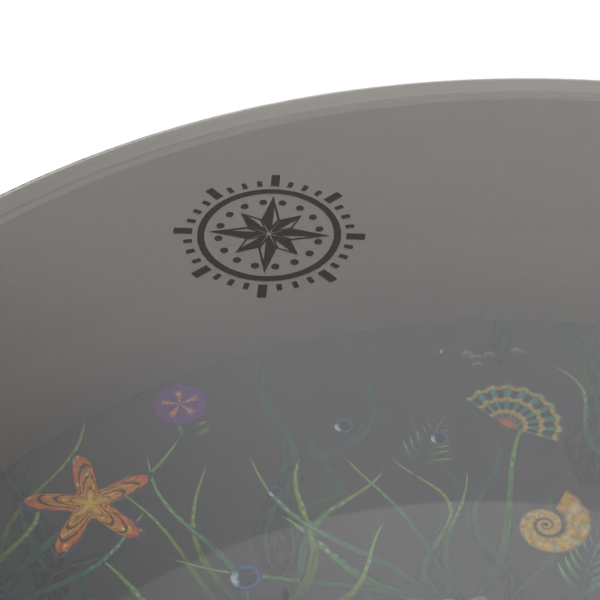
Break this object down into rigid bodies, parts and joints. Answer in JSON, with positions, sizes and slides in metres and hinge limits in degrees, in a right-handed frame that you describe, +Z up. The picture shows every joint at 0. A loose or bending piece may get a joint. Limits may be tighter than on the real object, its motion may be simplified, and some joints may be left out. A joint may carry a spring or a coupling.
{
  "type": "ocean drum",
  "caption": "Shallow round frame drum closed by a clear film head and a printed film head, with loose steel beads inside that roll across it and sound like surf.",
  "frame": {"origin": "centre of the lower playing face, on the drum's axis", "axes": "+Z up along the drum's axis towards the clear head; the beads have gathered on the -Y side, and +Y is the far side in the picture"},
  "size_m": [0.3072, 0.3072, 0.0635],
  "materials": {
    "fibre": "dark sealed wood fibre",
    "clear_film": "clear glossy polyester film",
    "printed_film": "glossy film printed with a dark sea design",
    "glue": "cured pale adhesive",
    "printed_wrap": "satin vinyl printed with a dark sea design",
    "adhesive": "adhesive sheet",
    "steel_bead": "polished steel"
  },
  "bodies": {
    "drum": {"shell": "fibre", "top_head": "clear_film", "bottom_head": "printed_film", "top_glue_line": "glue", "bottom_glue_line": "glue", "wrap": "printed_wrap", "wrap_adhesive": "adhesive"},
    "bead_lane_01": {"bead_lane_01": "steel_bead"},
    "bead_lane_02": {"bead_lane_02": "steel_bead"},
    "bead_lane_03": {"bead_lane_03": "steel_bead"},
    "bead_lane_04": {"bead_lane_04": "steel_bead"},
    "bead_lane_05": {"bead_lane_05": "steel_bead"},
    "bead_lane_06": {"bead_lane_06": "steel_bead"},
    "bead_lane_07": {"bead_lane_07": "steel_bead"},
    "bead_lane_08": {"bead_lane_08": "steel_bead"},
    "bead_lane_09": {"bead_lane_09": "steel_bead"},
    "bead_lane_10": {"bead_lane_10": "steel_bead"},
    "bead_lane_11": {"bead_lane_11": "steel_bead"},
    "bead_lane_12": {"bead_lane_12": "steel_bead"}
  },
  "joints": [
    {"name": "bead_lane_01_roll", "type": "slide", "parent": "drum", "child": "bead_lane_01", "axis": [0, 1, 0], "range_m": [0, 0.1965]},
    {"name": "bead_lane_02_roll", "type": "slide", "parent": "drum", "child": "bead_lane_02", "axis": [0, 1, 0], "range_m": [0, 0.2265]},
    {"name": "bead_lane_03_roll", "type": "slide", "parent": "drum", "child": "bead_lane_03", "axis": [0, 1, 0], "range_m": [0, 0.231]},
    {"name": "bead_lane_04_roll", "type": "slide", "parent": "drum", "child": "bead_lane_04", "axis": [0, 1, 0], "range_m": [0, 0.2085]},
    {"name": "bead_lane_05_roll", "type": "slide", "parent": "drum", "child": "bead_lane_05", "axis": [0, 1, 0], "range_m": [0, 0.233]},
    {"name": "bead_lane_06_roll", "type": "slide", "parent": "drum", "child": "bead_lane_06", "axis": [0, 1, 0], "range_m": [0, 0.215]},
    {"name": "bead_lane_07_roll", "type": "slide", "parent": "drum", "child": "bead_lane_07", "axis": [0, 1, 0], "range_m": [0, 0.2375]},
    {"name": "bead_lane_08_roll", "type": "slide", "parent": "drum", "child": "bead_lane_08", "axis": [0, 1, 0], "range_m": [0, 0.231]},
    {"name": "bead_lane_09_roll", "type": "slide", "parent": "drum", "child": "bead_lane_09", "axis": [0, 1, 0], "range_m": [0, 0.225]},
    {"name": "bead_lane_10_roll", "type": "slide", "parent": "drum", "child": "bead_lane_10", "axis": [0, 1, 0], "range_m": [0, 0.217]},
    {"name": "bead_lane_11_roll", "type": "slide", "parent": "drum", "child": "bead_lane_11", "axis": [0, 1, 0], "range_m": [0, 0.22]},
    {"name": "bead_lane_12_roll", "type": "slide", "parent": "drum", "child": "bead_lane_12", "axis": [0, 1, 0], "range_m": [0, 0.204]}
  ]
}
